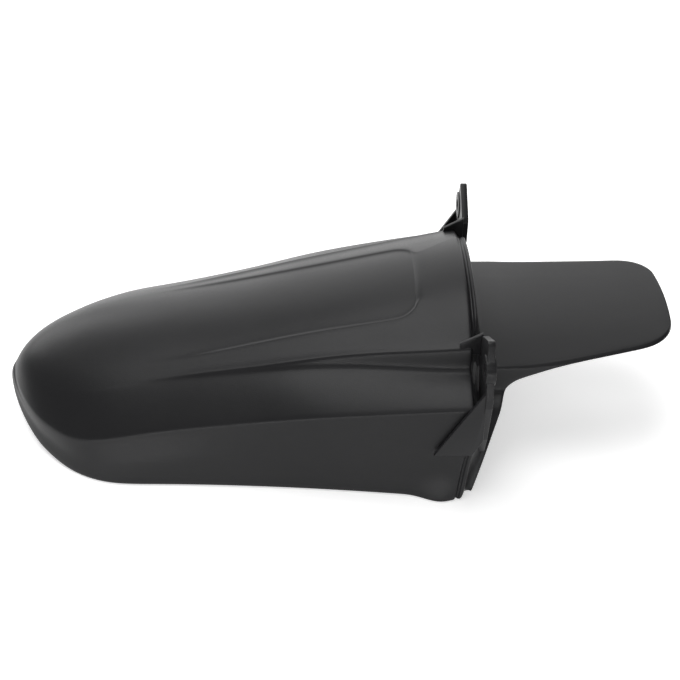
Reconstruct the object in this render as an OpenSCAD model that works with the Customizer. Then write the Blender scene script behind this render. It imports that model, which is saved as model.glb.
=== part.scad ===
// Motorcycle rear fender: one injection-moulded plastic shell with a tongue and two mounting ears.
// X runs from the round tip to the tongue, Y across, Z up. The lower edges rest on Z = 0.

/* [Shell] */
// Length of the shell from its tip to the front rim
shell_l = 311; // [280:1:340]
// Width over the lower edges at the front rim
mouth_w = 212; // [196:1:228]
// Width over the lower edges where the round tip ends
waist_w = 183; // [172:1:190]
// Length of the round tip in plan
tip_l = 91; // [76:1:110]
// Height of the crown at the front rim
mouth_h = 111; // [100:1:120]
// Height of the crown at the tip
tip_h = 29; // [25:1:35]
// Height of the lower edge at the tip
tip_lift = 23; // [13:1:24]
// Length over which the lower edge comes down from the tip
lift_l = 60; // [40:1:80]
// Wall thickness of the moulding
wall = 2.8; // [2:0.1:3.5]

/* [Side walls] */
// Height of the side crease at the front rim
crease_h = 70.5; // [62:0.5:78]
// How far the crease at the front rim lies inside the lower edge
crease_inset = 9.5; // [6:0.5:12]
// Height of the flared hem along the lower edge
hem_h = 20; // [12:1:26]
// How far the hem flares outwards
hem_flare = 4.2; // [2:0.2:6]
// How far the lower front corner lies behind the rim at the crown
corner_back = 9; // [4:1:14]
// Sideways bulge of the rounded foot at the lower front corner
foot_bulge = 5; // [0:0.5:6]

/* [Raised lines] */
// Half width of the sunk top panel as a share of the half width at the crease
panel_share = 0.40; // [0.34:0.01:0.44]
// Depth of the sunk top panel
panel_depth = 1.3; // [0.6:0.1:2]
// Distance from the rounded end of the panel to the front rim
panel_end = 31; // [16:1:40]
// Radius of the corners at the panel's end
panel_r = 14; // [8:1:20]
// Bow of the panel's end towards the front rim
panel_bow = 1; // [0:0.5:4]
// Half width of the panel's sloping edge
panel_edge = 1.6; // [0.6:0.1:2]
// Half distance between the two ridges at the front rim
ridge_y = 65.8; // [60:0.2:70]
// Height of the lip along each ridge
lip_h = 1.1; // [0.4:0.1:1.6]
// Depth of the step beside the ridge at the front rim
step_d = 14; // [8:0.5:16]
// Width of the step beside the ridge
step_w = 2.2; // [1.6:0.1:3]

/* [Front rim] */
// Width of the rounded rim
rim_w = 1.6; // [1.2:0.1:2.4]
// Width of the groove behind the second rim
groove_w = 2; // [1.4:0.1:3]
// Depth of the groove
groove_d = 2.4; // [1:0.1:3]
// Width of the second rim
rim2_w = 2.6; // [1.6:0.1:4]
// Length of the fall from the second rim to the tongue
fall_l = 4; // [3:0.5:6]

/* [Tongue] */
// Length of the tongue past the front rim
tongue_l = 138; // [110:1:160]
// Half width of the tongue at its root
tongue_y = 58.5; // [50:0.5:60]
// Half width of the tongue where its end corners start
tongue_end_y = 45.5; // [40:0.5:54]
// Radius of the tongue's end corners
tongue_r = 21; // [12:1:28]
// Height of the tongue's side edges at the root
tongue_h = 71; // [64:0.5:74]
// Rise of the tongue's side edges from root to end
tongue_rise = 11.5; // [4:0.5:14]
// Crown of the tongue above its side edges at the root
tongue_crown = 4; // [2:0.5:8]
// Height of the side flanges at the tongue's root
flange_h = 13; // [8:0.5:15]
// Length along which the side flanges run out
flange_l = 45; // [30:1:60]
// Distance from the front rim to the corners between the tongue and the skirts
notch_l = 26; // [22:1:32]
// Size of the rounded corner between the tongue and the skirts
notch_r = 5; // [2:0.5:9]

/* [Skirts] */
// Distance from the front rim to the skirt's front edge at the floor
skirt_l = 12.5; // [12:0.5:17]
// Width over the lower edges of the skirts
skirt_w = 199; // [189:1:201]
// Outward lip along the skirt's front edge
skirt_lip = 1; // [0:0.1:2]

/* [Ears] */
// Diameter of the mounting holes
hole_d = 8.5; // [6:0.5:10]
// Half distance between the two mounting holes
hole_y = 90; // [84:0.5:94]
// Height of the mounting holes
hole_z = 97.5; // [92:0.5:102]
// Diameter of the bosses round the holes
boss_d = 19; // [15:0.5:22]
// How far each boss stands proud of both faces of its ear
boss_proud = 0.8; // [0.4:0.1:2]
// Thickness of the ear plates
ear_t = 4.5; // [3:0.1:6]
// Distance from the front rim to the rear face of the ears
ear_x = 6.2; // [4:0.5:8]
// Height of the ears' top corners
ear_h = 118.6; // [112:0.2:122]
// Half distance between the ears' top corners
ear_y = 88.4; // [82:0.2:92]
// How far the ears' outer edges lie inside the lower edges at the front rim
ear_inset = 3; // [2:0.5:5]
// Half distance between the ears' inner edges
ear_in_y = 63; // [61:0.5:66]
// Height of the ears' inner top corners
ear_in_z = 102.8; // [98:0.2:106]
// Height where the ears' inner and outer edges turn
ear_turn_z = 84; // [80:0.5:88]
// Height of the upright part of the ears' outer edges
ear_side_h = 7; // [4:0.5:12]
// How far the ears' lower ends lie inside their outer edges
ear_foot_in = 12; // [9:0.5:14]
// Width of the ears' lower ends
ear_foot_w = 5; // [4:0.5:8]
// How far the ears reach down past the gusset webs
ear_foot_drop = 9; // [6:0.5:14]
// Radius of the ears' corners
ear_r = 3; // [1:0.5:5]
// Thickness of the gusset webs
web_t = 2.8; // [2:0.1:4]
// Length of the gusset webs along the side wall
web_l = 26; // [20:1:36]
// Height of the lower edge of the gusset webs
web_z = 37; // [30:1:44]
// How far the gusset webs lean in towards their tops
web_lean = 2; // [0:0.5:4]
// Length of the ribs at the ears' inner ends
rib_l = 14; // [10:0.5:18]

/* [Hidden] */
overall_l = shell_l + tongue_l;
tip_x = -overall_l / 2;
rim_x = tip_x + shell_l;
tiny = 0.000001;
ear_out = mouth_w / 2 - ear_inset;
rib_z = mouth_h - 15;

// Rails are curves from the tip (0) to the front rim (1), as shares of the sizes above
crown_rail = [[0, 0], [.02, .105], [.06, .21], [.14, .318], [.26, .408], [.4, .506], [.6, .667],
    [.74, .782], [1, 1]];
crease_rail = [[0, 0], [.1, -.09], [.18, -.07], [.25, .05], [.33, .17], [.53, .453], [.66, .658], [.75, .769],
    [.87, .889], [1, 1]];
inset_rail = [[0, .3], [.1, .56], [.18, .78], [.25, 1.15], [.33, 1.31], [.53, 1.13],
    [.66, .9], [.8, .83], [1, 1]];
ridge_rail = [[0, .92], [.4, .92], [.55, .933], [.75, .93], [.94, .99], [1, 1]];
step_rail = [[0, 0], [.45, 0], [.58, .06], [.66, .16], [.74, .36], [.85, .64], [.94, .86], [1, 1]];

function clamp01(x) = min(1, max(0, x));
function ease(a, b, x) = let (t = clamp01((x - a) / (b - a))) t * t * (3 - 2 * t);
function mix(a, b, t) = a + (b - a) * t;
function slope_at(tab, k) = let (a = max(0, k - 1), b = min(len(tab) - 1, k + 1))
    (tab[b][1] - tab[a][1]) / (tab[b][0] - tab[a][0]);
function knot(tab, x, i = 0) = i >= len(tab) - 2 || x <= tab[i + 1][0] ? i : knot(tab, x, i + 1);
// Smooth curve through the points of a rail
function rail(tab, x) =
    let (i = knot(tab, x), h = tab[i + 1][0] - tab[i][0], t = (x - tab[i][0]) / h)
    (2 * t ^ 3 - 3 * t ^ 2 + 1) * tab[i][1] + (t ^ 3 - 2 * t ^ 2 + t) * h * slope_at(tab, i)
    + (3 * t ^ 2 - 2 * t ^ 3) * tab[i + 1][1] + (t ^ 3 - t ^ 2) * h * slope_at(tab, i + 1);

// Half width over the lower edges, with a round tip and a slow spread towards the mouth
function edge_y(s) =
    let (d = s * shell_l, u = min(1, d / tip_l), spread = max(0, (d - tip_l) / (shell_l - tip_l)))
    waist_w / 2 * (1 - (1 - u) ^ 2) ^ 0.68 + (mouth_w - waist_w) / 2 * spread ^ 1.65;
function edge_z(s) = tip_lift * (1 - min(1, s * shell_l / lift_l)) ^ 2.4;
function near_tip(s) = min(1, edge_y(s) / 60);
function foot(s) = foot_bulge * exp(-((to_rim(s) - 10) / 11) ^ 2);
function crease_y(s) = edge_y(s) - crease_inset * rail(inset_rail, s) * near_tip(s);
function crease_z(s) = tip_h + (crease_h - tip_h) * rail(crease_rail, s);
function crown_z(s) = tip_h + (mouth_h - tip_h) * rail(crown_rail, s);
function hem_z(s) = edge_z(s) + min(hem_h, .45 * (crease_z(s) - edge_z(s)));
function hem_y(s) = edge_y(s) - hem_flare * near_tip(s);
function ridge_at(s) = crease_y(s) * ridge_y / (mouth_w / 2 - crease_inset) * rail(ridge_rail, s);
function step_at(s) = step_d * rail(step_rail, s);
function lip_at(s) = lip_h * ease(.3, .5, s);
// Distance from a station to the front rim
function to_rim(s) = (1 - s) * shell_l;
// The panel's edges turn in along an arc at its end
function panel_turn(s) = to_rim(s) < panel_end ? panel_r * ease(0, panel_end, to_rim(s))
    : panel_r * (1 - sqrt(1 - clamp01(1 - (to_rim(s) - panel_end) / panel_r) ^ 2));
function panel_y(s) = crease_y(s) * (panel_share + .07 * (1 - ease(.35, .74, s))) - panel_turn(s);
function sunk_at(s) = panel_depth * ease(.32, .5, s)
    * ease(panel_end - panel_edge, panel_end + panel_edge, to_rim(s));
// Bow of the stations where the panel ends, at a share q of its half width
function bow_at(s, q) = panel_bow * max(0, 1 - q ^ 2) * exp(-((to_rim(s) - panel_end) / 14) ^ 2);

// The top is a smooth arch from crease to crease
function arch(s, y) = crown_z(s) - (crown_z(s) - crease_z(s)) * abs(y / max(tiny, crease_y(s))) ^ 2.05;
function arch_turn(s, y) = let (w = max(tiny, crease_y(s)))
    atan(2.05 * (crown_z(s) - crease_z(s)) * abs(y / w) ^ 1.05 / w);

// Columns of the skin from the crown to the lower edge: kind and place within that kind
columns = concat([for (f = [0, .25, .5, .7, .86]) ["panel", f]], [for (f = [-1, 0, 1]) ["panel edge", f]],
    [["slope", .5], ["slope", 1], ["lip", -1], ["lip", 0], ["step", .5], ["step", 1]],
    [for (f = [.12, .4, .7, .93]) ["shoulder", f]], [["crease", 0], ["crease", 1]],
    [["side", .35], ["side", .72], ["hem", 0], ["hem", 1], ["edge", 0]]);
last = len(columns) - 1;
function first_of(kind) = search([kind], columns)[0];
at_slope = first_of("slope") + 1;
at_ridge = first_of("lip") + 1;
at_step = first_of("step") + 1;
at_crease = first_of("crease");

// Point [y, z] of a column at station s, with the turn of the skin from level there
function skin(s, j) =
    let (kind = columns[j][0], f = columns[j][1], k = near_tip(s), w = crease_y(s),
        yp = panel_y(s), yr = ridge_at(s), ys = yr + step_w * k, edge_w = panel_edge * k,
        d = step_at(s), zk = crease_z(s), steep = min(1, d / 5))
    kind == "panel" ? let (y = (yp - 2 * k) * f) [y, arch(s, y) - sunk_at(s), arch_turn(s, y)]
    : kind == "panel edge" ? let (y = yp + edge_w * f)
        [y, arch(s, y) - sunk_at(s) * (1 - f) / 2, arch_turn(s, y)]
    : kind == "slope" ? let (y = mix(yp + edge_w, yr - 5 * k, f))
        [y, arch(s, y) - .25 * lip_at(s) * f, arch_turn(s, y)]
    : kind == "lip" ? let (y = yr + 1.6 * k * f)
        [y, arch(s, y) + lip_at(s) * (1 + .45 * f), arch_turn(s, y) + (f < 0 ? 0 : 15 * steep)]
    : kind == "step" ? let (y = mix(yr, ys, f))
        [y, arch(s, y) + .6 * lip_at(s) * (f < 1 ? 1 : 0) - d * (f < 1 ? .25 : .92),
            arch_turn(s, y) + (f < 1 ? 30 : 15) * steep]
    : kind == "shoulder" ? let (y = mix(ys, w, f))
        [y, arch(s, y) - d * (1 - f) * (1 - .25 * f), arch_turn(s, y) * (1 - .4 * min(1, d / 8) * (1 - f))]
    : kind == "crease" ? (f == 0 ? [w + .25 * k, zk - .4 * k, (arch_turn(s, w) + 88) / 2]
        : [w + .8 * k, zk - min(3, .3 * (zk - edge_z(s))), 88])
    : kind == "side" ? let (top = zk - min(3, .3 * (zk - edge_z(s))),
            z = mix(top, hem_z(s) + .15 * (zk - hem_z(s)), f))
        [mix(w + .8 * k, hem_y(s), (top - z) / (top - hem_z(s))), z, 88]
    : kind == "hem" ? (f == 0 ? [hem_y(s), hem_z(s), 86]
        : [mix(hem_y(s), edge_y(s) + foot(s), .5), mix(hem_z(s), edge_z(s), .5), 80])
    : [edge_y(s) + foot(s), edge_z(s), 78];

// The tongue and skirts carry on from the same columns: v runs from the root (0) to the tongue's end (1)
tongue_x0 = rim_x + notch_l;
corner_v = tongue_r / (tongue_l - notch_l);
function tongue_edge_y(v) = mix(tongue_y, tongue_end_y, ease(-.1, 1.25, v) * 1.2)
    - tongue_r * (1 - sqrt(1 - clamp01(1 - (1 - v) / corner_v) ^ 2));
function tongue_edge_z(v) = tongue_h + tongue_rise * clamp01(v - .12) ^ 1.25 * 1.16;
function flange_at(v) = let (x = v * (tongue_l - notch_l))
    mix(2.2, flange_h, (1 - clamp01(x / flange_l)) ^ 1.6) + notch_r * (1 - clamp01(x / (2 * notch_r))) ^ 2;
function share(j) = skin(1, j)[0] / skin(1, at_ridge)[0];
function skirt_turn(f) = mix(30, 84, ease(0, .5, f));
// Wing of the skirt from the flange's foot down to the floor, f from 0 to 1
function wing(f) = let (top = tongue_h - flange_at(0) - 2)
    [mix(tongue_y + 5, skirt_w / 2, f ^ .62), top * (1 - f ^ 1.25)];
function lower_skin(j, v) =
    let (e = [tongue_edge_y(v), tongue_edge_z(v)])
    j <= at_ridge ? let (q = share(j), rise = tongue_crown * (1 - .75 * clamp01(v)))
        [e[0] * q - (j == at_ridge ? .2 : 0), e[1] + rise * (1 - q ^ 2) - (j == at_ridge ? .6 : 0),
            atan(2 * rise * q / e[0]) + (j == at_ridge ? 35 : 0)]
    : j == at_ridge + 1 ? [e[0] + .7, e[1] - .3 * flange_at(v) - .5, 82]
    : j == at_step ? [e[0] + 1.5, e[1] - flange_at(v), 82]
    : let (f = (j - at_step - 1) / (last - at_step - 1), p = wing(f)) [p[0], p[1], skirt_turn(f)];

// Stations of the skin: closely spaced at the tip, then even
tip_rows = 8;
body_rows = 14;
body_end = panel_end + 2 * panel_r;
stations = concat([for (i = [0:tip_rows - 1]) .1 * (i / tip_rows) ^ 1.6],
    [for (i = [0:body_rows]) mix(.1, 1 - body_end / shell_l, i / body_rows)],
    [for (f = [1, .6, .3, .12]) 1 - (panel_end + f * panel_r) / shell_l],
    [for (e = [panel_edge, -panel_edge]) 1 - (panel_end + e) / shell_l],
    [for (f = [.75, .5, .28, .12, 0]) 1 - f * panel_end / shell_l]);
// Rows past the rim: outer run, inner run, depth below the skin, share of the fall on top and beside the ears
rim2_at = rim_w + groove_w;
rim2_end = rim2_at + rim2_w;
rim_rows = [[rim_w * .7, .4, .5, 0, 0], [rim_w, .7, .8 * groove_d, 0, .1],
    [rim_w + .5, 1.1, groove_d, 0, .3], [rim2_at - .3, 1.5, groove_d, 0, .5],
    [rim2_at + .3, 1.9, .5 * groove_d, 0, .6], [rim2_end - .8, 2.3, .45 * groove_d, 0, .7],
    [rim2_end, 2.7, groove_d * .8, 0, .8], [rim2_end + .25 * fall_l, rim2_end - 2.4, groove_d, .5, .9],
    [rim2_end + .6 * fall_l, rim2_end - .8, groove_d, .9, .95],
    [rim2_end + fall_l, rim2_end + fall_l - .6, 0, 1, 1]];
fall_end = rim2_end + fall_l;
skirt_rows = [.35, .8, 1];
tongue_rows = concat([.025, .05, .08, .17, .3, .45, .6, .74],
    [for (f = [1, .62, .3, .1, .01]) 1 - f * corner_v]);
first_rim = len(stations);
first_skirt = first_rim + len(rim_rows);
first_tongue = first_skirt + len(skirt_rows);
row_count = first_tongue + len(tongue_rows);

// The lower front corner lies further back than the rim at the crown
function back_at(s, z) = corner_back * ease(.55, 1, s) * max(0, 1 - z / 60);
function front_edge(j) = let (z = lower_skin(j, 0)[1])
    j <= at_step ? notch_l : let (t = clamp01(z / wing(0)[1]))
        mix(skirt_l - corner_back, notch_l - 5, t) + 3.5 * t ^ 6 + back_at(1, skin(1, j)[1]);
// Moves a point inwards along its own turn
function inwards(p, t) = [p[0] * p[0] / max(tiny, p[0] + t * sin(p[2])), p[1] - t * cos(p[2])];

// Point of row i, column j, on the outer (0) or inner (1) side. The column has the sign of its half
function grid_point(i, j, side) =
    let (c = abs(j), sgn = j < 0 ? -1 : 1)
    i < first_rim ? let (s = stations[i], p = skin(s, c), q = inwards(p, wall),
            back = back_at(s, p[1]) - (c < first_of("slope") ? bow_at(s, p[0] / panel_y(s)) : 0),
            lead = 4 * (1 - s) ^ 6 * (c <= at_crease ? 1 : (last - c) / (last - at_crease)))
        side == 0 ? [tip_x + shell_l * s + lead - back, sgn * p[0], p[1]]
        : [tip_x + shell_l * s + lead - back + wall * (1 - s) ^ 12, sgn * q[0], c == last ? p[1] : q[1]]
    : i < first_skirt ? let (r = rim_rows[i - first_rim], a = skin(1, c), b = lower_skin(c, 0),
            fall = c >= at_slope && c <= at_crease ? r[4] : r[3], m = mix(a, b, fall),
            q = inwards(m, side == 0 ? r[2] * (1 - fall) : wall + .7 * r[2] * (1 - fall)),
            x = rim_x - back_at(1, a[1]) + (side == 0 ? r[0] : r[1]))
        [x, sgn * q[0], c == last ? 0 : max(0, q[1])]
    : i < first_tongue ? let (f = skirt_rows[i - first_skirt], p = lower_skin(c, 0),
            wing_out = c > at_step ? skirt_lip * f ^ 3 : 0,
            q = inwards(p, (side == 0 ? 0 : wall) - wing_out), a = skin(1, c),
            x = rim_x - back_at(1, a[1]) + mix(fall_end, front_edge(c), f))
        [x, sgn * q[0], c == last ? 0 : q[1]]
    : let (v = tongue_rows[i - first_tongue], p = lower_skin(c, v), q = inwards(p, side == 0 ? 0 : wall),
            end = tongue_l - notch_l - 1.5 * share(min(c, at_ridge)) ^ 2)
        [tongue_x0 + end * v, sgn * q[0], q[1]];

// Columns present in a row: the tongue's rows reach only to the foot of its flange
function reach(i) = i < first_tongue ? last : at_step;
all_points = [for (side = [0, 1]) for (i = [0:row_count - 1]) for (j = [-last:last]) grid_point(i, j, side)];
row_len = 2 * last + 1;
// At the tip both halves share their points on the centre line
function tip_column(j) = max(abs(j), at_crease);
function id(i, j, side) = (side * row_count + i) * row_len + last + (i == 0 ? tip_column(j) : j);
function quad(a, b, c, d) =
    [if (a != b && b != c && a != c) [a, b, c], if (a != c && c != d && a != d) [a, c, d]];
skin_faces = [for (side = [0, 1]) for (i = [0:row_count - 2]) for (j = [-reach(i + 1):reach(i + 1) - 1])
    let (q = quad(id(i, j, side), id(i, j + 1, side), id(i + 1, j + 1, side), id(i + 1, j, side)))
    for (t = q) side == 0 ? t : [t[2], t[1], t[0]]];
// Rims join the outer and inner skins along the lower edges, the front edges and round the tongue
side_rim = [for (e = [-1, 1]) for (i = [0:row_count - 2]) let (j = e * reach(i + 1))
    let (q = quad(id(i, j, 0), id(i + 1, j, 0), id(i + 1, j, 1), id(i, j, 1)))
    for (t = q) e < 0 ? t : [t[2], t[1], t[0]]];
end_rim = [for (j = [-at_step:at_step - 1])
    let (i = row_count - 1)
    for (t = quad(id(i, j, 0), id(i, j + 1, 0), id(i, j + 1, 1), id(i, j, 1))) t];
front_rim = [for (j = [at_step:last - 1]) for (e = [-1, 1])
    let (i = first_tongue - 1, a = e * j, b = e * (j + 1))
    for (t = quad(id(i, a, 0), id(i, b, 0), id(i, b, 1), id(i, a, 1))) e > 0 ? t : [t[2], t[1], t[0]]];

module moulding() {
    polyhedron(points = all_points, faces = concat(skin_faces, side_rim, end_rim, front_rim), convexity = 8);
}

// Outline of an ear in the plane across the fender, with rounded corners
module ear_outline() {
    foot_y = ear_out - ear_foot_in;
    foot_z = web_z - ear_foot_drop;
    foot_in_y = foot_y - ear_foot_w;
    bend_y = foot_in_y - 8;
    offset(r = ear_r) offset(delta = -ear_r)
        polygon([[ear_in_y, ear_turn_z], [ear_in_y, ear_in_z - 3], [ear_in_y + 1.5, ear_in_z], [ear_y, ear_h],
            [ear_out, ear_turn_z], [ear_out, ear_turn_z - ear_side_h], [ear_out - 6, web_z + 8],
            [foot_y, foot_z], [foot_in_y, foot_z], [bend_y, web_z + 4], [bend_y - 4, ear_turn_z - 18]]);
}

module ear(sgn) {
    face_x = rim_x + ear_x;
    translate([face_x, 0, 0]) mirror([0, sgn < 0 ? 1 : 0, 0]) rotate([90, 0, 90])
        linear_extrude(ear_t) ear_outline();
    translate([face_x - boss_proud, sgn * hole_y, hole_z]) rotate([0, 90, 0])
        cylinder(d = boss_d, h = ear_t + 2 * boss_proud, $fn = 64);
}

// Triangular web from the ear's outer edge back to the side wall
module gusset(sgn) {
    x1 = rim_x + ear_x + 1;
    top_z = ear_turn_z + 5;
    mirror([0, sgn < 0 ? 1 : 0, 0]) intersection() {
        translate([0, ear_out, 0]) rotate([90, 0, 0]) linear_extrude(web_lean + 4 * web_t)
            polygon([[x1 - web_l - 4, web_z], [x1 - 6, web_z], [x1, web_z + 12], [x1, top_z]]);
        translate([x1 - 2 * web_l, 0, 0]) rotate([90, 0, 90]) linear_extrude(3 * web_l)
            polygon([[ear_out - 7, web_z - 1], [ear_out, web_z - 1], [ear_out - web_lean, top_z + 1],
                [ear_out - web_lean - web_t, top_z + 1], [ear_out - web_t - 1, 60]]);
    }
}

// Small rib from the ear's inner end back over the ridge
module rib(sgn) {
    x1 = rim_x + ear_x + 1;
    mirror([0, sgn < 0 ? 1 : 0, 0]) translate([0, ridge_y - 1, 0]) rotate([90, 0, 0]) linear_extrude(web_t)
        polygon([[x1 - rib_l, rib_z - 3], [x1 - rib_l, rib_z], [x1, rib_z + 8], [x1, rib_z - 8],
            [x1 - 6, rib_z - 8]]);
}

module fender() {
    color("#232325") difference() {
        // One skin all over, held to its length over all
        resize([overall_l, 0, 0]) union() {
            moulding();
            for (sgn = [-1, 1]) {
                ear(sgn);
                gusset(sgn);
                rib(sgn);
            }
        }
        for (sgn = [-1, 1]) translate([rim_x, sgn * hole_y, hole_z]) rotate([0, 90, 0])
            cylinder(d = hole_d, h = 3 * ear_t + ear_x, $fn = 64);
    }
}

fender();
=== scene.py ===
"""Studio picture of a motorcycle rear fender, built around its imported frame."""

import math

import bmesh
import bpy
from mathutils import Matrix, Vector


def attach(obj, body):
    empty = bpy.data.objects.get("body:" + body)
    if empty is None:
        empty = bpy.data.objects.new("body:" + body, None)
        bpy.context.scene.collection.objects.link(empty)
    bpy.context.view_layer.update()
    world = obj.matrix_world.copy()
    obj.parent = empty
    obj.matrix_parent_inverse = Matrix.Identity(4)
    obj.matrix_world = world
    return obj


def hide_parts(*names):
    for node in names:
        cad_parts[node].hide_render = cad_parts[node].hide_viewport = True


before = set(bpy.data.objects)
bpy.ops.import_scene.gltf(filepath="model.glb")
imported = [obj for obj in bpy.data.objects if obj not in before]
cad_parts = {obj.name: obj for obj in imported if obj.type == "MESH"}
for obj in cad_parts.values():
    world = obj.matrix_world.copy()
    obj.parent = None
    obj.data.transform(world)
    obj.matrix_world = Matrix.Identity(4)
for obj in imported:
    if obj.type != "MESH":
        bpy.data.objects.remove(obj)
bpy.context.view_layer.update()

MM = 0.001

# Sizes of the part, in millimetres, as its source has them
SHELL_L, MOUTH_W, WAIST_W, TIP_L = 311, 212, 183, 91
MOUTH_H, TIP_H, TIP_LIFT, LIFT_L, WALL = 111, 29, 23, 60, 2.8
CREASE_H, CREASE_INSET, HEM_H, HEM_FLARE = 70.5, 9.5, 20, 4.2
CORNER_BACK, FOOT_BULGE = 9, 5
PANEL_SHARE, PANEL_DEPTH, PANEL_END, PANEL_R, PANEL_BOW, PANEL_EDGE = 0.40, 1.3, 31, 14, 1, 1.6
RIDGE_Y, LIP_H, STEP_D, STEP_W = 65.8, 1.1, 14, 2.2
RIM_W, GROOVE_W, GROOVE_D, RIM2_W, FALL_L = 1.6, 2, 2.4, 2.6, 4
TONGUE_L, TONGUE_Y, TONGUE_END_Y, TONGUE_R, TONGUE_H = 138, 58.5, 45.5, 21, 71
TONGUE_RISE, TONGUE_CROWN, FLANGE_H, FLANGE_L, NOTCH_L, NOTCH_R = 11.5, 4, 13, 45, 26, 5
SKIRT_L, SKIRT_W, SKIRT_LIP = 12.5, 199, 1
HOLE_D, HOLE_Y, HOLE_Z, BOSS_D, BOSS_PROUD = 8.5, 90, 97.5, 19, 0.8
EAR_T, EAR_X, EAR_H, EAR_Y, EAR_INSET, EAR_R = 4.5, 6.2, 118.6, 88.4, 3, 3
EAR_IN_Y, EAR_IN_Z, EAR_TURN_Z, EAR_SIDE_H = 63, 102.8, 84, 7
EAR_FOOT_IN, EAR_FOOT_W, EAR_FOOT_DROP = 12, 5, 9
WEB_T, WEB_L, WEB_Z, WEB_LEAN, RIB_L = 2.8, 26, 37, 2, 14

# Roundings of the ears' edges and the angle from which an edge is drawn sharp
PLATE_BEVEL, WEB_BEVEL, BOSS_BEVEL, SHARP_FROM = 0.5, 0.4, 0.35, 38

# Looks of the plastic: scales per metre and depths in metres
FLOW_SCALE, WAVE_SCALE, SPECK_SCALE, GRAIN_SCALE = 14, 60, 900, 1600
WAVE_DEPTH, GRAIN_DEPTH = 0.0004, 0.00012
DARK_TONE, PALE_TONE = (0.012, 0.012, 0.013, 1), (0.018, 0.018, 0.019, 1)
SPECULAR, SMOOTHEST, ROUGHEST, SPECK_ROUGHNESS = 0.2, 0.34, 0.40, 0.03

# Studio, in metres: the floor lies just under the lower edges
FLOOR_SIZE, FLOOR_Z, FLOOR_COLOUR, FLOOR_GLOW, WORLD_LIGHT = 12, -0.0002, 0.92, 0.5, 0.15
MIDDLE = Vector((0, 0, 0.06))
# Soft lamps: name, place, width, height and power; each looks at the middle of the fender
LAMPS = [
    ("back_lamp", (0.1, 1.5, 0.75), 1.8, 1.6, 16),
    ("top_lamp", (-0.3, 0.25, 1.75), 1.3, 1.1, 19),
    ("front_lamp", (0.0, -1.1, 1.3), 0.9, 0.8, 3),
    ("low_lamp", (-0.2, -1.2, 0.08), 2.2, 0.12, 7),
    ("left_lamp", (-1.2, 1.3, 0.6), 1.0, 0.8, 8),
]
# The object stands turned by a small yaw, so the camera goes round by as much the other way
CAMERA_PLACE, CAMERA_TILT, CAMERA_YAW = Vector((0.006, -0.6023, 0.5518)), 50, -0.7
SENSOR_WIDTH, LENS = 36, 60.25

TIP_X = -(SHELL_L + TONGUE_L) / 2
RIM_X = TIP_X + SHELL_L
EAR_OUT = MOUTH_W / 2 - EAR_INSET
RIB_Z = MOUTH_H - 15
TINY = 1e-6

# Rails run from the tip (0) to the front rim (1), as shares of the sizes above
CROWN_RAIL = [(0, 0), (.02, .105), (.06, .21), (.14, .318), (.26, .408), (.4, .506), (.6, .667),
              (.74, .782), (1, 1)]
CREASE_RAIL = [(0, 0), (.1, -.09), (.18, -.07), (.25, .05), (.33, .17), (.53, .453), (.66, .658),
               (.75, .769), (.87, .889), (1, 1)]
INSET_RAIL = [(0, .3), (.1, .56), (.18, .78), (.25, 1.15), (.33, 1.31), (.53, 1.13), (.66, .9),
              (.8, .83), (1, 1)]
RIDGE_RAIL = [(0, .92), (.4, .92), (.55, .933), (.75, .93), (.94, .99), (1, 1)]
STEP_RAIL = [(0, 0), (.45, 0), (.58, .06), (.66, .16), (.74, .36), (.85, .64), (.94, .86), (1, 1)]


def clamp01(x):
    return min(1, max(0, x))


def ease(a, b, x):
    t = clamp01((x - a) / (b - a))
    return t * t * (3 - 2 * t)


def mix(a, b, t):
    return a + (b - a) * t


def slope_at(tab, k):
    a, b = max(0, k - 1), min(len(tab) - 1, k + 1)
    return (tab[b][1] - tab[a][1]) / (tab[b][0] - tab[a][0])


def rail(tab, x):
    """Smooth curve through the points of a rail."""
    i = 0
    while i < len(tab) - 2 and x > tab[i + 1][0]:
        i += 1
    h = tab[i + 1][0] - tab[i][0]
    t = (x - tab[i][0]) / h
    return ((2 * t**3 - 3 * t**2 + 1) * tab[i][1] + (t**3 - 2 * t**2 + t) * h * slope_at(tab, i)
            + (3 * t**2 - 2 * t**3) * tab[i + 1][1] + (t**3 - t**2) * h * slope_at(tab, i + 1))


def edge_y(s):
    d = s * SHELL_L
    u = min(1, d / TIP_L)
    spread = max(0, (d - TIP_L) / (SHELL_L - TIP_L))
    return (WAIST_W / 2 * max(0, 1 - (1 - u) ** 2) ** 0.68
            + (MOUTH_W - WAIST_W) / 2 * spread ** 1.65)


def edge_z(s):
    return TIP_LIFT * (1 - min(1, s * SHELL_L / LIFT_L)) ** 2.4


def near_tip(s):
    return min(1, edge_y(s) / 60)


def to_rim(s):
    """Distance from a station to the front rim."""
    return (1 - s) * SHELL_L


def foot(s):
    return FOOT_BULGE * math.exp(-((to_rim(s) - 10) / 11) ** 2)


def crease_y(s):
    return edge_y(s) - CREASE_INSET * rail(INSET_RAIL, s) * near_tip(s)


def crease_z(s):
    return TIP_H + (CREASE_H - TIP_H) * rail(CREASE_RAIL, s)


def crown_z(s):
    return TIP_H + (MOUTH_H - TIP_H) * rail(CROWN_RAIL, s)


def hem_z(s):
    return edge_z(s) + min(HEM_H, .45 * (crease_z(s) - edge_z(s)))


def hem_y(s):
    return edge_y(s) - HEM_FLARE * near_tip(s)


def ridge_at(s):
    return crease_y(s) * RIDGE_Y / (MOUTH_W / 2 - CREASE_INSET) * rail(RIDGE_RAIL, s)


def step_at(s):
    return STEP_D * rail(STEP_RAIL, s)


def lip_at(s):
    return LIP_H * ease(.3, .5, s)


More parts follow.
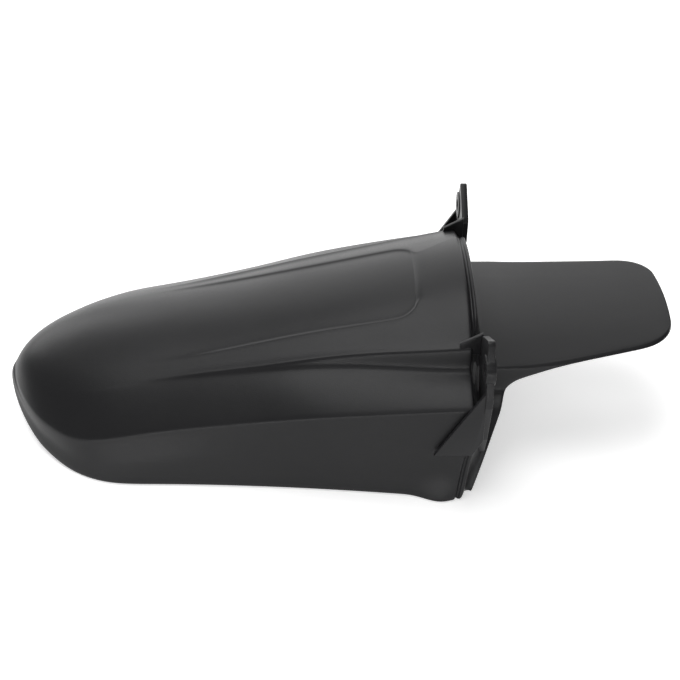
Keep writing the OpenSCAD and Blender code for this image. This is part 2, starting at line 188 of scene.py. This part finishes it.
def panel_turn(s):
    """How far the panel's edges have turned in, along an arc at its end."""
    if to_rim(s) < PANEL_END:
        return PANEL_R * ease(0, PANEL_END, to_rim(s))
    return PANEL_R * (1 - math.sqrt(1 - clamp01(1 - (to_rim(s) - PANEL_END) / PANEL_R) ** 2))


def panel_y(s):
    return crease_y(s) * (PANEL_SHARE + .07 * (1 - ease(.35, .74, s))) - panel_turn(s)


def sunk_at(s):
    return (PANEL_DEPTH * ease(.32, .5, s)
            * ease(PANEL_END - PANEL_EDGE, PANEL_END + PANEL_EDGE, to_rim(s)))


def bow_at(s, q):
    """Bow of the stations where the panel ends, at a share q of its half width."""
    return PANEL_BOW * max(0, 1 - q ** 2) * math.exp(-((to_rim(s) - PANEL_END) / 14) ** 2)


def arch(s, y):
    """Height of the top, a smooth arch from crease to crease."""
    return crown_z(s) - (crown_z(s) - crease_z(s)) * abs(y / max(TINY, crease_y(s))) ** 2.05


def arch_turn(s, y):
    w = max(TINY, crease_y(s))
    return math.degrees(math.atan(2.05 * (crown_z(s) - crease_z(s)) * abs(y / w) ** 1.05 / w))


# Columns of the skin from the crown to the lower edge: kind and place within that kind
COLUMNS = ([("panel", f) for f in (0, .25, .5, .7, .86)] + [("panel edge", f) for f in (-1, 0, 1)]
           + [("slope", .5), ("slope", 1), ("lip", -1), ("lip", 0), ("step", .5), ("step", 1)]
           + [("shoulder", f) for f in (.12, .4, .7, .93)] + [("crease", 0), ("crease", 1)]
           + [("side", .35), ("side", .72), ("hem", 0), ("hem", 1), ("edge", 0)])
LAST = len(COLUMNS) - 1


def first_of(kind):
    return [name for name, _ in COLUMNS].index(kind)


AT_SLOPE, AT_RIDGE = first_of("slope") + 1, first_of("lip") + 1
AT_STEP, AT_CREASE = first_of("step") + 1, first_of("crease")


def skin(s, j):
    """Point (y, z) of column j at station s, with the turn of the skin from level there."""
    kind, f = COLUMNS[j]
    k, w = near_tip(s), crease_y(s)
    yp, edge_w = panel_y(s), PANEL_EDGE * k
    yr = ridge_at(s)
    ys = yr + STEP_W * k
    d, zk = step_at(s), crease_z(s)
    steep = min(1, d / 5)
    if kind == "panel":
        y = (yp - 2 * k) * f
        return y, arch(s, y) - sunk_at(s), arch_turn(s, y)
    if kind == "panel edge":
        y = yp + edge_w * f
        return y, arch(s, y) - sunk_at(s) * (1 - f) / 2, arch_turn(s, y)
    if kind == "slope":
        y = mix(yp + edge_w, yr - 5 * k, f)
        return y, arch(s, y) - .25 * lip_at(s) * f, arch_turn(s, y)
    if kind == "lip":
        y = yr + 1.6 * k * f
        return y, arch(s, y) + lip_at(s) * (1 + .45 * f), arch_turn(s, y) + (0 if f < 0 else 15 * steep)
    if kind == "step":
        y = mix(yr, ys, f)
        return (y, arch(s, y) + .6 * lip_at(s) * (1 if f < 1 else 0) - d * (.25 if f < 1 else .92),
                arch_turn(s, y) + (30 if f < 1 else 15) * steep)
    if kind == "shoulder":
        y = mix(ys, w, f)
        return (y, arch(s, y) - d * (1 - f) * (1 - .25 * f),
                arch_turn(s, y) * (1 - .4 * min(1, d / 8) * (1 - f)))
    top = zk - min(3, .3 * (zk - edge_z(s)))
    if kind == "crease":
        if f == 0:
            return w + .25 * k, zk - .4 * k, (arch_turn(s, w) + 88) / 2
        return w + .8 * k, top, 88
    if kind == "side":
        z = mix(top, hem_z(s) + .15 * (zk - hem_z(s)), f)
        return mix(w + .8 * k, hem_y(s), (top - z) / (top - hem_z(s))), z, 88
    if kind == "hem":
        if f == 0:
            return hem_y(s), hem_z(s), 86
        return mix(hem_y(s), edge_y(s) + foot(s), .5), mix(hem_z(s), edge_z(s), .5), 80
    return edge_y(s) + foot(s), edge_z(s), 78


# The tongue and skirts carry on from the same columns: v runs from the root (0) to the end (1)
TONGUE_X0 = RIM_X + NOTCH_L
CORNER_V = TONGUE_R / (TONGUE_L - NOTCH_L)


def tongue_edge_y(v):
    return (mix(TONGUE_Y, TONGUE_END_Y, ease(-.1, 1.25, v) * 1.2)
            - TONGUE_R * (1 - math.sqrt(1 - clamp01(1 - (1 - v) / CORNER_V) ** 2)))


def tongue_edge_z(v):
    return TONGUE_H + TONGUE_RISE * clamp01(v - .12) ** 1.25 * 1.16


def flange_at(v):
    x = v * (TONGUE_L - NOTCH_L)
    return (mix(2.2, FLANGE_H, (1 - clamp01(x / FLANGE_L)) ** 1.6)
            + NOTCH_R * (1 - clamp01(x / (2 * NOTCH_R))) ** 2)


def share(j):
    return skin(1, j)[0] / skin(1, AT_RIDGE)[0]


def wing(f):
    """Point of the skirt from the flange's foot (0) down to the floor (1)."""
    top = TONGUE_H - flange_at(0) - 2
    return mix(TONGUE_Y + 5, SKIRT_W / 2, f ** .62), top * (1 - f ** 1.25)


def lower_skin(j, v):
    ey, ez = tongue_edge_y(v), tongue_edge_z(v)
    if j <= AT_RIDGE:
        q, rise, at_edge = share(j), TONGUE_CROWN * (1 - .75 * clamp01(v)), j == AT_RIDGE
        return (ey * q - (.2 if at_edge else 0), ez + rise * (1 - q ** 2) - (.6 if at_edge else 0),
                math.degrees(math.atan(2 * rise * q / ey)) + (35 if at_edge else 0))
    if j == AT_RIDGE + 1:
        return ey + .7, ez - .3 * flange_at(v) - .5, 82
    if j == AT_STEP:
        return ey + 1.5, ez - flange_at(v), 82
    f = (j - AT_STEP - 1) / (LAST - AT_STEP - 1)
    y, z = wing(f)
    return y, z, mix(30, 84, ease(0, .5, f))


TIP_ROWS, BODY_ROWS = 8, 14
BODY_END = PANEL_END + 2 * PANEL_R
STATIONS = ([.1 * (i / TIP_ROWS) ** 1.6 for i in range(TIP_ROWS)]
            + [mix(.1, 1 - BODY_END / SHELL_L, i / BODY_ROWS) for i in range(BODY_ROWS + 1)]
            + [1 - (PANEL_END + f * PANEL_R) / SHELL_L for f in (1, .6, .3, .12)]
            + [1 - (PANEL_END + e) / SHELL_L for e in (PANEL_EDGE, -PANEL_EDGE)]
            + [1 - f * PANEL_END / SHELL_L for f in (.75, .5, .28, .12, 0)])
RIM2_AT = RIM_W + GROOVE_W
RIM2_END = RIM2_AT + RIM2_W
FALL_END = RIM2_END + FALL_L
# Rows past the rim: outer run, inner run, depth below the skin, share of the fall on top and by the ears
RIM_ROWS = [
    (RIM_W * .7, .4, .5, 0, 0),
    (RIM_W, .7, .8 * GROOVE_D, 0, .1),
    (RIM_W + .5, 1.1, GROOVE_D, 0, .3),
    (RIM2_AT - .3, 1.5, GROOVE_D, 0, .5),
    (RIM2_AT + .3, 1.9, .5 * GROOVE_D, 0, .6),
    (RIM2_END - .8, 2.3, .45 * GROOVE_D, 0, .7),
    (RIM2_END, 2.7, GROOVE_D * .8, 0, .8),
    (RIM2_END + .25 * FALL_L, RIM2_END - 2.4, GROOVE_D, .5, .9),
    (RIM2_END + .6 * FALL_L, RIM2_END - .8, GROOVE_D, .9, .95),
    (RIM2_END + FALL_L, RIM2_END + FALL_L - .6, 0, 1, 1),
]
SKIRT_ROWS = [.35, .8, 1]
TONGUE_ROWS = ([.025, .05, .08, .17, .3, .45, .6, .74]
               + [1 - f * CORNER_V for f in (1, .62, .3, .1, .01)])
FIRST_RIM = len(STATIONS)
FIRST_SKIRT = FIRST_RIM + len(RIM_ROWS)
FIRST_TONGUE = FIRST_SKIRT + len(SKIRT_ROWS)
ROW_COUNT = FIRST_TONGUE + len(TONGUE_ROWS)


def back_at(s, z):
    """How far the lower front corner lies behind the rim at the crown."""
    return CORNER_BACK * ease(.55, 1, s) * max(0, 1 - z / 60)


def front_edge(j):
    if j <= AT_STEP:
        return NOTCH_L + back_at(1, skin(1, j)[1])
    t = clamp01(lower_skin(j, 0)[1] / wing(0)[1])
    return (mix(SKIRT_L - CORNER_BACK, NOTCH_L - 5, t) + 3.5 * t ** 6
            + back_at(1, skin(1, j)[1]))


def inwards(y, z, turn, t):
    """Moves a point inwards along its own turn."""
    a = math.radians(turn)
    return y * y / max(TINY, y + t * math.sin(a)), z - t * math.cos(a)


def grid_point(i, j, side):
    """Point of row i and column j, on the outer (0) or the inner (1) side."""
    c, sgn = abs(j), -1 if j < 0 else 1
    if i < FIRST_RIM:
        s = STATIONS[i]
        y, z, turn = skin(s, c)
        lead = 4 * (1 - s) ** 6 * (1 if c <= AT_CREASE else (LAST - c) / (LAST - AT_CREASE))
        bow = bow_at(s, y / panel_y(s)) if c < first_of("slope") else 0
        x = TIP_X + SHELL_L * s + lead + bow - back_at(s, z)
        if side == 0:
            return x, sgn * y, z
        qy, qz = inwards(y, z, turn, WALL)
        return x + WALL * (1 - s) ** 12, sgn * qy, z if c == LAST else qz
    if i < FIRST_SKIRT:
        outer, inner, depth, on_top, by_ears = RIM_ROWS[i - FIRST_RIM]
        fall = by_ears if AT_SLOPE <= c <= AT_CREASE else on_top
        a, b = skin(1, c), lower_skin(c, 0)
        m = [mix(p, q, fall) for p, q in zip(a, b)]
        qy, qz = inwards(*m, depth * (1 - fall) if side == 0 else WALL + .7 * depth * (1 - fall))
        x = RIM_X - back_at(1, a[1]) + (inner if side else outer)
        return x, sgn * qy, 0 if c == LAST else max(0, qz)
    if i < FIRST_TONGUE:
        f = SKIRT_ROWS[i - FIRST_SKIRT]
        out = SKIRT_LIP * f ** 3 if c > AT_STEP else 0
        y, z, turn = lower_skin(c, 0)
        qy, qz = inwards(y, z, turn, (WALL if side else 0) - out)
        x = RIM_X - back_at(1, skin(1, c)[1]) + mix(FALL_END, front_edge(c), f)
        return x, sgn * qy, 0 if c == LAST else qz
    v = TONGUE_ROWS[i - FIRST_TONGUE]
    y, z, turn = lower_skin(c, v)
    qy, qz = inwards(y, z, turn, WALL if side else 0)
    end = TONGUE_L - NOTCH_L - 1.5 * share(min(c, AT_RIDGE)) ** 2
    return TONGUE_X0 + end * v, sgn * qy, qz


def moulding_mesh():
    """The one-piece skin with its inner side and the rims that join both."""
    bm = bmesh.new()
    verts = {}

    def vert(i, j, side):
        key = (i, max(abs(j), AT_CREASE) if i == 0 else j, side)
        if key not in verts:
            verts[key] = bm.verts.new([MM * n for n in grid_point(*key)])
        return verts[key]

    def face(corners):
        kept = [v for n, v in enumerate(corners) if v != corners[n - 1]]
        if len(set(kept)) > 2:
            bm.faces.new(kept)

    def quad(corners, turned):
        loop = [vert(*corner) for corner in corners]
        face(loop[::-1] if turned else loop)

    def reach(i):
        return LAST if i < FIRST_TONGUE else AT_STEP

    for i in range(ROW_COUNT - 1):
        r = reach(i + 1)
        for j in range(-r, r):
            for side in (0, 1):
                quad([(i, j, side), (i, j + 1, side), (i + 1, j + 1, side), (i + 1, j, side)], side == 0)
        for j in (-r, r):
            quad([(i, j, 0), (i + 1, j, 0), (i + 1, j, 1), (i, j, 1)], j < 0)
    end = ROW_COUNT - 1
    for j in range(-AT_STEP, AT_STEP):
        quad([(end, j, 0), (end, j, 1), (end, j + 1, 1), (end, j + 1, 0)], False)
    i = FIRST_TONGUE - 1
    for j in range(AT_STEP, LAST):
        for e in (-1, 1):
            quad([(i, e * j, 0), (i, e * j, 1), (i, e * (j + 1), 1), (i, e * (j + 1), 0)], e < 0)
    bmesh.ops.recalc_face_normals(bm, faces=bm.faces)
    return bm


def finished(bm, name):
    mesh = bpy.data.meshes.new(name)
    bm.to_mesh(mesh)
    bm.free()
    obj = bpy.data.objects.new(name, mesh)
    bpy.context.scene.collection.objects.link(obj)
    return obj


def prism(outline, axis, low, high, name, bevel=0.0):
    """A plate with this outline, from low to high along axis 0 (X) or 1 (Y)."""
    bm = bmesh.new()
    rings = []
    for level in (low, high):
        ring = [(level, a, b) if axis == 0 else (a, level, b) for a, b in outline]
        rings.append([bm.verts.new([MM * n for n in p]) for p in ring])
    bm.faces.new(rings[0])
    bm.faces.new(rings[1][::-1])
    for n in range(len(outline)):
        bm.faces.new([rings[0][n - 1], rings[1][n - 1], rings[1][n], rings[0][n]])
    bmesh.ops.recalc_face_normals(bm, faces=bm.faces)
    if bevel:
        ends = [e for e in bm.edges if len({round(v.co[axis] / MM, 4) for v in e.verts}) == 1]
        bmesh.ops.bevel(bm, geom=ends, offset=bevel * MM, segments=3, profile=0.5, affect="EDGES")
    return finished(bm, name)


def rounded(corners, radius, steps=8):
    """The outline with an arc of this radius at each corner."""
    out = []
    for n, p in enumerate(corners):
        p, a, b = Vector(p), Vector(corners[n - 1]), Vector(corners[(n + 1) % len(corners)])
        u, v = (a - p).normalized(), (b - p).normalized()
        half = u.angle(v) / 2
        reach = radius / math.tan(half)
        centre = p + (u + v).normalized() * radius / math.sin(half)
        start, stop = p + u * reach - centre, p + v * reach - centre
        for k in range(steps + 1):
            turn = start.angle_signed(stop) * k / steps
            c, s = math.cos(turn), -math.sin(turn)
            out.append((centre.x + start.x * c - start.y * s, centre.y + start.x * s + start.y * c))
    return out


def circle(y, z, radius, steps=96):
    turns = [math.tau * k / steps for k in range(steps)]
    return [(y + radius * math.cos(t), z + radius * math.sin(t)) for t in turns]


def bake(obj, step):
    """Replaces the object's mesh by the one that this modifier makes."""
    graph = bpy.context.evaluated_depsgraph_get()
    baked = bpy.data.meshes.new_from_object(obj.evaluated_get(graph))
    obj.modifiers.remove(step)
    old, obj.data = obj.data, baked
    bpy.data.meshes.remove(old)


def combine(target, tool, operation):
    """Joins the tool to the target, or cuts it out."""
    step = target.modifiers.new("combine", "BOOLEAN")
    step.solver, step.operation, step.object = "MANIFOLD", operation, tool
    bake(target, step)
    bpy.data.objects.remove(tool)


def ear_outline():
    foot_y, foot_z = EAR_OUT - EAR_FOOT_IN, WEB_Z - EAR_FOOT_DROP
    foot_in_y = foot_y - EAR_FOOT_W
    bend_y = foot_in_y - 8
    return [(EAR_IN_Y, EAR_TURN_Z), (EAR_IN_Y, EAR_IN_Z - 3), (EAR_IN_Y + 1.5, EAR_IN_Z), (EAR_Y, EAR_H),
            (EAR_OUT, EAR_TURN_Z), (EAR_OUT, EAR_TURN_Z - EAR_SIDE_H), (EAR_OUT - 6, WEB_Z + 8),
            (foot_y, foot_z), (foot_in_y, foot_z), (bend_y, WEB_Z + 4), (bend_y - 4, EAR_TURN_Z - 18)]


def add_ears(shell):
    """Joins both ears with their gussets, ribs and bosses to the shell, and drills them."""
    face_x = RIM_X + EAR_X
    x1, top_z = face_x + 1, EAR_TURN_Z + 5
    web = [(x1 - WEB_L - 4, WEB_Z), (x1 - 6, WEB_Z), (x1, WEB_Z + 12), (x1, top_z)]
    rib = [(x1 - RIB_L, RIB_Z - 3), (x1 - RIB_L, RIB_Z), (x1, RIB_Z + 8), (x1, RIB_Z - 8),
           (x1 - 6, RIB_Z - 8)]
    rib_y = RIDGE_Y - 1
    for sgn in (-1, 1):
        plate = prism([(sgn * y, z) for y, z in rounded(ear_outline(), EAR_R)], 0,
                      face_x, face_x + EAR_T, "plate", PLATE_BEVEL)
        combine(shell, plate, "UNION")
        gusset = prism(web, 1, sgn * (EAR_OUT - WEB_T), sgn * EAR_OUT, "gusset", WEB_BEVEL)
        for v in gusset.data.vertices:
            v.co.y -= sgn * WEB_LEAN * MM * clamp01((v.co.z / MM - WEB_Z) / (top_z - WEB_Z))
        combine(shell, gusset, "UNION")
        combine(shell, prism(rib, 1, sgn * (rib_y - WEB_T), sgn * rib_y, "rib", WEB_BEVEL), "UNION")
        boss = prism(circle(sgn * HOLE_Y, HOLE_Z, BOSS_D / 2), 0, face_x - BOSS_PROUD,
                     face_x + EAR_T + BOSS_PROUD, "boss", BOSS_BEVEL)
        combine(shell, boss, "UNION")
        bore = prism(circle(sgn * HOLE_Y, HOLE_Z, HOLE_D / 2), 0, RIM_X, RIM_X + 4 * EAR_T, "bore")
        combine(shell, bore, "DIFFERENCE")


def smooth_skin(obj):
    """Turns the cage into a finely rounded skin."""
    step = obj.modifiers.new("round", "SUBSURF")
    step.levels = step.render_levels = 2
    bake(obj, step)


def moulded_plastic():
    """Near-black moulded plastic with a fine satin grain."""
    mat = bpy.data.materials.new("moulded_plastic")
    mat.use_nodes = True
    nodes, links = mat.node_tree.nodes, mat.node_tree.links
    shader = nodes["Principled BSDF"]
    place = nodes.new("ShaderNodeTexCoord")

    def noise(scale, detail, roughness=0.5):
        tex = nodes.new("ShaderNodeTexNoise")
        tex.inputs["Scale"].default_value = scale
        tex.inputs["Detail"].default_value = detail
        tex.inputs["Roughness"].default_value = roughness
        links.new(place.outputs["Object"], tex.inputs["Vector"])
        return tex

    def spread(source, low, high):
        ramp = nodes.new("ShaderNodeMapRange")
        ramp.inputs["From Min"].default_value = 0.3
        ramp.inputs["From Max"].default_value = 0.7
        ramp.inputs["To Min"].default_value = low
        ramp.inputs["To Max"].default_value = high
        links.new(source, ramp.inputs["Value"])
        return ramp.outputs["Result"]

    shader.inputs["Specular IOR Level"].default_value = SPECULAR
    # Slight unevenness of colour and sheen from the flow of the plastic in the mould
    cloud = noise(FLOW_SCALE, 4)
    tone = nodes.new("ShaderNodeMix")
    tone.data_type = "RGBA"
    tone.inputs["A"].default_value = DARK_TONE
    tone.inputs["B"].default_value = PALE_TONE
    links.new(cloud.outputs["Fac"], tone.inputs["Factor"])
    links.new(tone.outputs["Result"], shader.inputs["Base Color"])
    speck = noise(SPECK_SCALE, 2)
    add = nodes.new("ShaderNodeMath")
    add.operation = "ADD"
    links.new(spread(cloud.outputs["Fac"], SMOOTHEST, ROUGHEST), add.inputs[0])
    links.new(spread(speck.outputs["Fac"], -SPECK_ROUGHNESS, SPECK_ROUGHNESS), add.inputs[1])
    links.new(add.outputs["Value"], shader.inputs["Roughness"])
    # Eroded grain of the mould, in cells of about 0.6 millimetres
    cells = nodes.new("ShaderNodeTexVoronoi")
    cells.feature = "SMOOTH_F1"
    cells.inputs["Scale"].default_value = GRAIN_SCALE
    links.new(place.outputs["Object"], cells.inputs["Vector"])
    grain = nodes.new("ShaderNodeBump")
    grain.inputs["Strength"].default_value = 0.25
    grain.inputs["Distance"].default_value = GRAIN_DEPTH
    links.new(cells.outputs["Distance"], grain.inputs["Height"])
    wave = nodes.new("ShaderNodeBump")
    wave.inputs["Strength"].default_value = 0.2
    wave.inputs["Distance"].default_value = WAVE_DEPTH
    links.new(noise(WAVE_SCALE, 2).outputs["Fac"], wave.inputs["Height"])
    links.new(grain.outputs["Normal"], wave.inputs["Normal"])
    links.new(wave.outputs["Normal"], shader.inputs["Normal"])
    return mat


def pale_floor():
    """A floor that looks white to the camera and in reflections, and still takes the shadow."""
    mat = bpy.data.materials.new("pale_floor")
    mat.use_nodes = True
    nodes, links = mat.node_tree.nodes, mat.node_tree.links
    base = nodes["Principled BSDF"]
    base.inputs["Base Color"].default_value = (FLOOR_COLOUR, FLOOR_COLOUR, FLOOR_COLOUR, 1)
    base.inputs["Roughness"].default_value = 0.9
    base.inputs["Specular IOR Level"].default_value = 0.0
    path = nodes.new("ShaderNodeLightPath")
    glow = nodes.new("ShaderNodeEmission")
    seen = path.outputs["Is Camera Ray"]
    for ray in ("Is Glossy Ray", "Is Transmission Ray"):
        either = nodes.new("ShaderNodeMath")
        either.operation = "MAXIMUM"
        links.new(seen, either.inputs[0])
        links.new(path.outputs[ray], either.inputs[1])
        seen = either.outputs["Value"]
    strength = nodes.new("ShaderNodeMath")
    strength.operation = "MULTIPLY"
    strength.inputs[1].default_value = FLOOR_GLOW
    links.new(seen, strength.inputs[0])
    links.new(strength.outputs["Value"], glow.inputs["Strength"])
    total = nodes.new("ShaderNodeAddShader")
    links.new(base.outputs[0], total.inputs[0])
    links.new(glow.outputs[0], total.inputs[1])
    links.new(total.outputs[0], nodes["Material Output"].inputs["Surface"])
    return mat


def lights(scene):
    world = bpy.data.worlds.new("studio")
    scene.world = world
    world.use_nodes = True
    background = world.node_tree.nodes["Background"]
    background.inputs["Color"].default_value = (1, 1, 1, 1)
    background.inputs["Strength"].default_value = WORLD_LIGHT
    for name, place, width, height, power in LAMPS:
        lamp = bpy.data.objects.new(name, bpy.data.lights.new(name, "AREA"))
        lamp.data.shape, lamp.data.size, lamp.data.size_y = "RECTANGLE", width, height
        lamp.data.energy = power
        lamp.location = place
        lamp.rotation_euler = (MIDDLE - Vector(place)).to_track_quat("-Z", "Y").to_euler()
        scene.collection.objects.link(lamp)


def studio():
    """Pale floor, soft lamps and the camera at the photograph's angle."""
    scene = bpy.context.scene
    bpy.ops.mesh.primitive_plane_add(size=FLOOR_SIZE, location=(0, 0, FLOOR_Z))
    floor = bpy.context.object
    floor.name = "floor"
    floor.data.materials.append(pale_floor())
    lights(scene)
    camera = bpy.data.objects.new("camera", bpy.data.cameras.new("camera"))
    camera.data.sensor_width, camera.data.lens = SENSOR_WIDTH, LENS
    yaw = math.radians(CAMERA_YAW)
    camera.location = Matrix.Rotation(yaw, 3, "Z") @ CAMERA_PLACE
    camera.rotation_euler = (math.radians(CAMERA_TILT), 0, yaw)
    scene.collection.objects.link(camera)
    scene.camera = camera
    scene.view_settings.view_transform = "Standard"


fender = finished(moulding_mesh(), "fender_shell")
smooth_skin(fender)
add_ears(fender)
fender.data.shade_smooth()
fender.data.set_sharp_from_angle(angle=math.radians(SHARP_FROM))
fender.data.materials.clear()
fender.data.materials.append(moulded_plastic())
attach(fender, "root")
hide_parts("fender")
studio()
